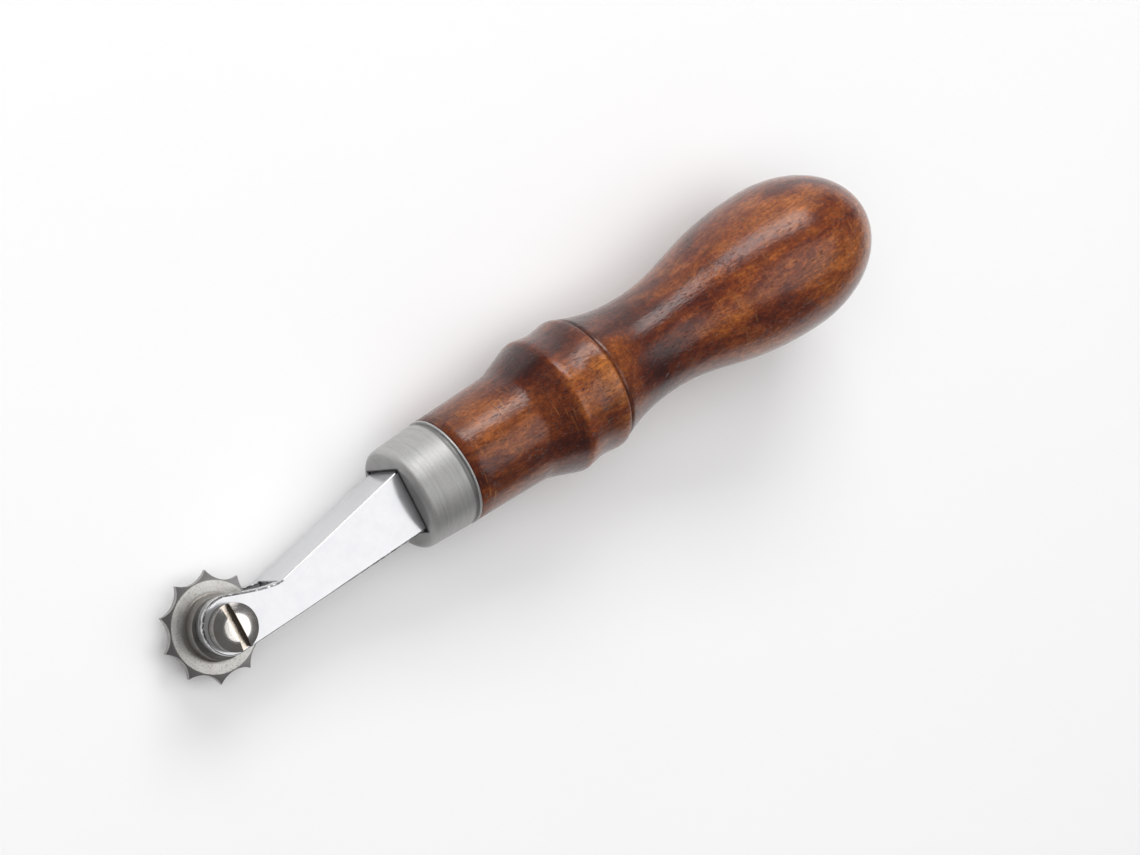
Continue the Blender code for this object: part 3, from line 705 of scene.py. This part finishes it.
def handle_profile():
    """The outline from the tang hole round the tenon and along the outside to the
    pommel's pole."""
    tenon = 6.55 * MM
    hole = 2.9 * MM
    hole_floor = 72.3 * MM
    tenon_front = FERRULE_FRONT + END_WALL + SEAT_GAP
    start = FERRULE_BACK + 0.06 * MM
    collar = 8.45 * MM
    points = [(hole_floor, 0.0), (hole_floor, hole), (tenon_front, hole),
              (tenon_front, tenon), (start, tenon), (start, 8.28 * MM),
              (start + 0.16 * MM, collar)]
    grip_end = (56.0 * MM, 8.8 * MM)
    ridge = (61.8 * MM, 10.85 * MM)
    second = (69.2 * MM, 10.7 * MM)
    flare = (ridge[1] - grip_end[1]) / (ridge[0] - grip_end[0])
    rounding = 0.45 * MM
    points += [(start + (grip_end[0] - start) * share,
                collar + (grip_end[1] - collar) * share)
               for share in (0.15, 0.3, 0.45, 0.6, 0.72, 0.84)]
    points += bezier(points[-1], grip_end, grip_end,
                     (grip_end[0] + 3.0 * rounding, grip_end[1] + 3.0 * rounding * flare), 14)
    before = (ridge[0] - rounding, ridge[1] - rounding * flare)
    after = (ridge[0] + rounding, ridge[1] + 0.02 * MM)
    points.append(before)
    points += bezier(before, ridge, ridge, after, 8)
    hollow = ((ridge[0] + second[0]) / 2.0, ridge[1] - 0.52 * MM)
    crest = (second[0] - 0.75 * MM, second[1] + 0.04 * MM)
    points += bezier(after, hollow, hollow, crest, 14)
    points += bezier(crest, (crest[0] + 0.3 * MM, crest[1] + 0.03 * MM),
                     (second[0] - 0.2 * MM, second[1] + 0.02 * MM), second, 4)
    low = (second[0] + 0.42 * MM, second[1] - 0.62 * MM)
    out = (second[0] + 1.2 * MM, second[1] - 0.50 * MM)
    points += bezier(second, (second[0] + 0.22 * MM, second[1]),
                     (low[0], low[1] + 0.30 * MM), low, 6)
    waist = (82.0 * MM, 8.15 * MM)
    fall = waist[0] - out[0]
    points += bezier(low, (low[0] + 0.1 * MM, low[1] - 0.02 * MM),
                     (out[0] - 0.4 * MM, out[1] + 0.08 * MM), out, 6)
    points += bezier(out, (out[0] + 0.26 * fall, out[1] - 0.55 * (out[1] - waist[1])),
                     (waist[0] - 0.43 * fall, waist[1]), waist, 26)
    pommel = (109.0 * MM, 11.95 * MM)
    rise = pommel[0] - waist[0]
    points += bezier(waist, (waist[0] + 0.37 * rise, waist[1]),
                     (pommel[0] - 0.52 * rise, pommel[1]), pommel, 36)
    steps = 30
    for index in range(1, steps + 1):
        angle = math.pi / 2.0 * index / steps
        points.append((pommel[0] + 17.0 * MM * math.sin(angle),
                       pommel[1] * math.cos(angle) if index < steps else 0.0))
    return points


def make_handle(tree, look):
    handle = lathe("turned_handle", tree, handle_profile(), 160, look, 50.0)
    place_piece(handle, "tool_body", "stained_wood", "handle")


def make_ferrule(tree, look):
    """The cap's rounded front edge, grooved back edge and window for the fork."""
    socket = 6.85 * MM
    floor = FERRULE_FRONT + END_WALL
    front_radius = 8.05 * MM
    back_radius = 8.38 * MM
    lip = 8.5 * MM
    shoulder = 1.1 * MM
    groove_front = FERRULE_BACK - 1.30 * MM
    groove_back = FERRULE_BACK - 0.40 * MM
    groove_depth = 0.22 * MM
    edge = 0.1 * MM
    profile = [(FERRULE_FRONT, 0.0)]
    profile += arc((FERRULE_FRONT + shoulder, front_radius - shoulder), shoulder,
                   math.pi, math.pi / 2.0, 16)
    cove_steps = 10
    cove_turn = 0.62 * math.pi
    profile += [(groove_front + (groove_back - groove_front) * step / cove_steps,
                 back_radius - groove_depth * math.sin(cove_turn * step / cove_steps))
                for step in range(cove_steps + 1)]
    profile += [(groove_back + 0.02 * MM, lip - edge), (groove_back + edge, lip),
                (FERRULE_BACK - edge, lip),
                (FERRULE_BACK, lip - edge), (FERRULE_BACK, socket), (floor, socket), (floor, 0.0)]
    ferrule = lathe("steel_ferrule", tree, profile, 144, look, 30.0)
    window = box("window", (FERRULE_FRONT - 2.0 * MM, -BLOCK_WIDTH / 2.0 - SEAT_GAP,
                            -BLOCK_HALF - SEAT_GAP),
                 (floor + 2.0 * MM, BLOCK_WIDTH / 2.0 + SEAT_GAP, BLOCK_HALF + SEAT_GAP))
    subtract(ferrule, window)
    clean(ferrule, 30.0)
    level_broad_faces(ferrule)
    place_piece(ferrule, "tool_body", "satin_steel", "ferrule")


def tangent_angle(point, centre, radius, side):
    dx = point[0] - centre[0]
    dy = point[1] - centre[1]
    return math.atan2(dy, dx) + side * math.acos(radius / math.hypot(dx, dy))


def fork_outline():
    half = BLOCK_WIDTH / 2.0
    end = FERRULE_FRONT + END_WALL
    top = tangent_angle(NECK, EAR_CENTRE, EAR_RADIUS, 1.0)
    bottom = tangent_angle((FERRULE_FRONT, -half), EAR_CENTRE, EAR_RADIUS, -1.0)
    nose = arc(EAR_CENTRE, EAR_RADIUS, top, bottom + TURN, 72)
    span = (nose[0][0] - NECK[0], nose[0][1] - NECK[1])
    knots = [(NECK[0] + span[0] * share, NECK[1] + span[1] * share - dip)
             for share, dip in ((0.25, 0.62 * MM), (0.60, 0.22 * MM))]
    neck_curve = bezier(NECK, knots[0], knots[1], nose[0], 12)[:-1]
    return nose + [(FERRULE_FRONT, -half), (end, -half), (end, half),
                   (FERRULE_FRONT, half), NECK] + neck_curve


def make_fork(tree, look, edge_look):
    """Two ears and a tapering block cut from one bar, with a round tang."""
    fork = prism("steel_fork", fork_outline(), -FORK_HALF, FORK_HALF)
    work = bmesh.new()
    work.from_mesh(fork.data)
    for x in (NECK[0], FERRULE_FRONT):
        everything = work.verts[:] + work.edges[:] + work.faces[:]
        bmesh.ops.bisect_plane(work, geom=everything, dist=0.001 * MM,
                               plane_co=(x, 0.0, 0.0), plane_no=(1.0, 0.0, 0.0))
    for corner in work.verts:
        share = min(max((corner.co.x - NECK[0]) / (FERRULE_FRONT - NECK[0]), 0.0), 1.0)
        corner.co.z = math.copysign(FORK_HALF + (BLOCK_HALF - FORK_HALF) * share, corner.co.z)
    bmesh.ops.recalc_face_normals(work, faces=work.faces)
    work.to_mesh(fork.data)
    work.free()
    fork.data.materials.append(look)
    fork.data.materials.append(edge_look)

    slot = box("slot", (-20.0 * MM, -20.0 * MM, -SLOT_HALF), (SLOT_END, 20.0 * MM, SLOT_HALF))
    subtract(fork, slot)
    hole_profile = [(-10.0 * MM, 0.0), (-10.0 * MM, THREAD_HOLE), (0.0, THREAD_HOLE),
                    (0.0, SHANK_HOLE), (10.0 * MM, SHANK_HOLE), (10.0 * MM, 0.0)]
    hole = lathe("hole", tree, hole_profile, 64, look)
    hole.data.transform(Matrix.Translation((0.0, -AXLE_DROP, 0.0))
                        @ Matrix.Rotation(-math.pi / 2.0, 4, "Y"))
    subtract(fork, hole)
    # Open fault: the strip between SLOT_END and the cut at NECK is narrower than this
    # bevel, which leaves two stray faces across the slot's mouth on its lower side.
    round_edges(fork, 0.26 * MM, 3, 35.0, 1)
    clean(fork, 35.0)

    root = FERRULE_FRONT + END_WALL / 2.0
    tang = lathe("tang", tree, [(root, 0.0), (root, 2.6 * MM), (70.4 * MM, 2.6 * MM),
                                (72.0 * MM, 1.0 * MM), (72.0 * MM, 0.0)], 48, look)
    union = fork.modifiers.new("tang", "BOOLEAN")
    union.operation = "UNION"
    union.solver = "EXACT"
    union.object = tang
    freeze(fork)
    bpy.data.objects.remove(tang)
    clean(fork, 35.0)
    level_broad_faces(fork)
    place_piece(fork, "tool_body", "bright_steel", "fork")


def scallop_radius(angle, teeth, tip, root):
    """Distance of the wheel's edge from its centre: a round scallop between two tips."""
    half = math.pi / teeth
    across = tip * math.cos(half)
    aside = tip * math.sin(half)
    centre = (across ** 2 + aside ** 2 - root ** 2) / (2.0 * (across - root))
    radius = centre - root
    offset = (angle % (2.0 * half)) - half
    return centre * math.cos(offset) - math.sqrt(radius ** 2 - (centre * math.sin(offset)) ** 2)


def make_wheel(tree, look):
    """One tooth's sector, from the bore out to the tips, repeated round the axle."""
    teeth = 10
    tip = 8.1 * MM
    root = 6.78 * MM
    ring = 6.6 * MM
    tooth_plane = -0.88 * MM
    ring_top = tooth_plane + 0.42 * MM
    bottom = tooth_plane - 0.75 * MM
    hub = 4.6 * MM
    hub_top = 2.1 * MM
    bore = SHANK_HOLE
    boss = 4.1 * MM
    boss_bottom = -2.1 * MM
    steps = 24
    slope = (ring_top - tooth_plane) / (tip - ring)
    angles = [TURN / teeth * index / steps for index in range(steps + 1)]

    def circle(radius, height):
        return [(radius * math.cos(a), radius * math.sin(a), height) for a in angles]

    def edge(inset, height_at):
        row = []
        for a in angles:
            reach = scallop_radius(a, teeth, tip, root) - inset
            row.append((reach * math.cos(a), reach * math.sin(a), height_at(reach)))
        return row

    worn = 0.035 * MM
    rows = [circle(boss, bottom), edge(worn, lambda r: bottom), edge(0.0, lambda r: bottom + worn)]
    rows += [edge(0.0, lambda r: ring_top - slope * (r - ring) - worn),
             edge(worn, lambda r: ring_top - slope * (r - ring))]
    rows += [circle(ring + 0.03 * MM, ring_top - 0.012 * MM), circle(ring - 0.05 * MM, ring_top)]
    fillet = 0.35 * MM
    rows.append(circle((ring + hub) / 2.0, ring_top))
    rows += [circle(hub + fillet * (1.0 - math.sin(turn)),
                    ring_top + fillet * (1.0 - math.cos(turn)))
             for turn in (math.pi / 2.0 * index / 6 for index in range(7))]
    rows += [circle(hub, hub_top - 0.25 * MM), circle(hub - 0.06 * MM, hub_top - 0.1 * MM),
             circle(hub - 0.25 * MM, hub_top), circle(bore + 0.45 * MM, hub_top),
             circle(bore + 0.02 * MM, hub_top - 0.43 * MM), circle(bore, hub_top - 0.5 * MM),
             circle(bore, boss_bottom), circle(boss - 0.1 * MM, boss_bottom),
             circle(boss, boss_bottom + 0.1 * MM)]
    columns = steps + 1
    points = [point for row in rows for point in row]
    faces = []
    for row in range(len(rows)):
        following = (row + 1) % len(rows)
        for column in range(steps):
            faces.append((row * columns + column, row * columns + column + 1,
                          following * columns + column + 1, following * columns + column))
    wheel = mesh_object("scalloped_wheel", points, faces)
    set_inputs(wheel, tree, {"Copies": teeth, "Material": look})
    freeze(wheel)
    clean(wheel, 28.0)
    wheel.data.transform(Matrix.Translation((0.0, -AXLE_DROP, 0.0))
                         @ Matrix.Rotation(WHEEL_TURN, 4, "Z"))
    place_piece(wheel, "wheel", "tool_steel", "marking_wheel")


def make_screw(lathe_group, thread_group, look):
    """A cheese head with a wide bevelled rim and a driver slot, a shoulder and a short
    thread."""
    under = FORK_HALF + 0.06 * MM
    top = HEAD_TOP
    edge = top - 0.5 * MM
    head = 3.45 * MM
    flat = 1.95 * MM
    shank = 2.65 * MM
    thread = 2.0 * MM
    shoulder = -SLOT_HALF + SEAT_GAP
    tip = -FORK_HALF + SEAT_GAP
    soft = 0.07 * MM
    profile = [(tip, 0.0), (tip, thread - 0.4 * MM), (tip + 0.3 * MM, thread - 0.1 * MM),
               (shoulder, thread - 0.1 * MM), (shoulder, shank - soft), (shoulder + soft, shank),
               (under, shank), (under, head - 0.15 * MM), (under + 0.15 * MM, head)]
    profile += [(edge - soft, head), (edge - 0.3 * soft, head - 0.15 * soft),
                (edge + 0.2 * soft, head - soft)]
    profile += [(top - 0.02 * MM, flat + 0.06 * MM), (top, flat - 0.02 * MM), (top, 0.0)]
    screw = lathe("shoulder_screw", lathe_group, profile, 128, look, 30.0)
    screw.data.transform(Matrix.Rotation(-math.pi / 2.0, 4, "Y"))
    slot = box("driver_slot", (-SLOT_WIDTH / 2.0, -8.0 * MM, top - SLOT_DEPTH),
               (SLOT_WIDTH / 2.0, 8.0 * MM, top + 2.0 * MM))
    subtract(screw, slot)
    clean(screw, 30.0)
    level_broad_faces(screw)
    screw.data.transform(Matrix.Translation((0.0, -AXLE_DROP, 0.0)))
    place_piece(screw, "screw", "polished_steel", "axle_screw")

    ridge = mesh_object("screw_thread", [(0.0, 0.0, 0.0), (0.0, 0.0, MM)])
    set_inputs(ridge, thread_group, {"Core Radius": thread - 0.1 * MM, "Ridge": 0.28 * MM,
                                     "Length": 1.5 * MM, "Turns": 3.0, "Material": look})
    freeze(ridge)
    clean(ridge, 20.0)
    ridge.data.transform(Matrix.Translation((0.0, -AXLE_DROP, tip + 0.35 * MM)))
    place_piece(ridge, "screw", "polished_steel")


# --- Stage ---------------------------------------------------------------------------

def make_floor(look):
    reach = 3.0
    floor = mesh_object("floor", [(-reach, -reach, 0.0), (reach, -reach, 0.0),
                                  (reach, reach, 0.0), (-reach, reach, 0.0)], [(0, 1, 2, 3)])
    floor.data.materials.append(look)


def make_light(name, azimuth, elevation, distance, size, radiance, target, in_reflections=True):
    """A soft rectangular lamp of even brightness. Azimuth runs from +X towards +Y."""
    data = bpy.data.lights.new(name, "AREA")
    data.shape = "RECTANGLE"
    data.size, data.size_y = size
    data.energy = radiance * math.pi * size[0] * size[1]
    lamp = bpy.data.objects.new(name, data)
    bpy.context.scene.collection.objects.link(lamp)
    across = math.radians(azimuth)
    up = math.radians(elevation)
    away = Vector((math.cos(up) * math.cos(across), math.cos(up) * math.sin(across), math.sin(up)))
    lamp.location = target + away * distance
    lamp.rotation_mode = "QUATERNION"
    lamp.rotation_quaternion = (-away).to_track_quat("-Z", "Y")
    lamp.visible_glossy = in_reflections
    return lamp


def make_world():
    """A dim grey room, which the camera itself sees as a plain pale backdrop."""
    world = bpy.data.worlds.new("studio")
    bpy.context.scene.world = world
    world.use_nodes = True
    tree = world.node_tree
    direction = add(tree, "ShaderNodeTexCoord").outputs["Generated"]
    height = add(tree, "ShaderNodeSeparateXYZ", {"Vector": direction}).outputs["Z"]
    shade = ramp(tree, height, [(0.0, 0.16), (0.20, 0.12), (0.60, 0.20), (1.0, 0.16)])
    seen = add(tree, "ShaderNodeLightPath").outputs["Is Camera Ray"]
    backdrop = mix(tree, seen, shade, (0.93, 0.93, 0.93, 1.0))
    tree.links.new(backdrop, tree.nodes["Background"].inputs["Color"])
    tree.nodes["Background"].inputs["Strength"].default_value = 1.0


def make_camera():
    data = bpy.data.cameras.new("camera")
    data.sensor_width = 36.0
    data.lens = 110.5
    data.clip_start = 0.01
    data.clip_end = 20.0
    camera = bpy.data.objects.new("camera", data)
    bpy.context.scene.collection.objects.link(camera)
    target = Vector((5.68, -4.81, 10.0)) * MM
    distance = 518.6 * MM
    azimuth = math.radians(158.9)
    elevation = math.radians(54.8)
    roll = math.radians(81.0)
    away = Vector((math.cos(elevation) * math.cos(azimuth),
                   math.cos(elevation) * math.sin(azimuth), math.sin(elevation)))
    camera.location = target + away * distance
    camera.rotation_mode = "QUATERNION"
    turn = Matrix.Rotation(roll, 3, "Z").to_quaternion()
    camera.rotation_quaternion = (-away).to_track_quat("-Z", "Y") @ turn
    bpy.context.scene.camera = camera


def main():
    wood = stained_wood()
    satin = brushed_ferrule_steel()
    plating = bright_fork_plating()
    lathe_group = lathe_tree()
    make_handle(lathe_group, wood)
    make_ferrule(lathe_group, satin)
    make_fork(lathe_group, plating, frayed_fork_edge())
    make_wheel(ring_of_copies_tree(), ground_wheel_steel())
    make_screw(lathe_group, thread_tree(), polished_screw_steel())

    make_floor(pale_floor())
    centre = Vector((0.0, 0.0, 0.01))
    make_light("far_softbox", -30.0, 64.0, 0.9, (0.62, 0.62), 1.42, centre)
    make_light("left_softbox", 64.0, 37.0, 0.9, (0.66, 0.32), 5.4, centre)
    make_light("side_softbox", 56.0, 13.0, 0.9, (0.90, 0.30), 0.7, centre)
    make_light("overhead_fill", 150.0, 66.0, 1.2, (1.3, 1.3), 1.75, centre, False)
    make_world()
    make_camera()
    bpy.context.scene.view_settings.view_transform = "Standard"


main()
